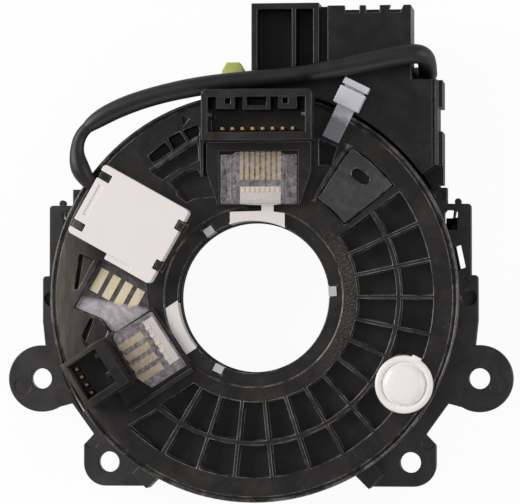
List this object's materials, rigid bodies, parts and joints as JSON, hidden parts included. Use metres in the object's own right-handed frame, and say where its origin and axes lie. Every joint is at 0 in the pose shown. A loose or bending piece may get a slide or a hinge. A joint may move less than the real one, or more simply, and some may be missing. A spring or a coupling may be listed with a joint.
{
  "type": "steering clock spring",
  "caption": "Spiral cable unit for a steering column: a ribbed rotor with connectors and a flat ribbon turns on a ring housing that has screw ears and a connector tower",
  "frame": {"origin": "on the axis of the bore, in the plane of the back cover", "axes": "+Z along the bore axis towards the steering wheel, +Y towards the connector tower, +X to the right seen from the wheel"},
  "size_m": [0.135, 0.1311, 0.039],
  "materials": {
    "black_housing": "matte",
    "black_cover": "matte",
    "natural_sheet": "matte",
    "ribbon": "glossy",
    "flat_cable": "satin",
    "gilt_contact": "satin",
    "tinned_terminal": "satin",
    "clear_film": "glossy",
    "white_cover": "satin",
    "grey_cover": "glossy",
    "white_plug": "satin",
    "pale_latch": "satin",
    "clip_plastic": "translucent",
    "lead_sleeve": "matte",
    "yellow_plug": "satin"
  },
  "bodies": {
    "stator": {"connector_tower": "black_housing", "rear_cover": "black_cover", "slide_sheet": "natural_sheet", "stator_housing": "black_housing", "tower_pin_1": "tinned_terminal", "tower_pin_2": "tinned_terminal", "tower_pin_3": "tinned_terminal", "tower_pin_4": "tinned_terminal", "tower_pin_5": "tinned_terminal", "tower_pin_6": "tinned_terminal"},
    "rotor": {"bore_latch_1": "pale_latch", "bore_latch_2": "pale_latch", "bore_latch_3": "pale_latch", "contact_film": "clear_film", "contact_strip_1": "gilt_contact", "contact_strip_2": "gilt_contact", "contact_strip_3": "gilt_contact", "contact_strip_4": "gilt_contact", "cover_plate": "white_cover", "lead": "lead_sleeve", "lead_plug": "yellow_plug", "lead_sleeve": "lead_sleeve", "ribbon_coil": "ribbon", "rotor_face": "black_housing", "rotor_sleeve": "black_housing", "round_plug": "white_plug", "sector_cover": "grey_cover", "side_connector": "black_housing", "side_flat_cable": "flat_cable", "side_joint_cover": "clear_film", "side_link_strip": "flat_cable", "side_terminal_1": "tinned_terminal", "side_terminal_2": "tinned_terminal", "side_terminal_3": "tinned_terminal", "side_terminal_4": "tinned_terminal", "top_connector": "black_housing", "top_flat_cable": "flat_cable", "top_joint_cover": "clear_film", "top_terminal_1": "tinned_terminal", "top_terminal_2": "tinned_terminal", "top_terminal_3": "tinned_terminal", "top_terminal_4": "tinned_terminal", "top_terminal_5": "tinned_terminal", "top_terminal_6": "tinned_terminal", "top_terminal_7": "tinned_terminal", "top_terminal_8": "tinned_terminal"},
    "clip": {"lock_clip": "clip_plastic"}
  },
  "joints": [
    {"name": "rotor_turn", "type": "hinge", "parent": "stator", "child": "rotor", "pos_m": [0, 0, 0], "axis": [0, 0, 1], "range_deg": [-900, 900], "deforming": ["ribbon_coil", "lead", "lead_sleeve"]},
    {"name": "clip_lift", "type": "slide", "parent": "rotor", "child": "clip", "axis": [0, 0, 1], "range_m": [0, 0.03]}
  ]
}
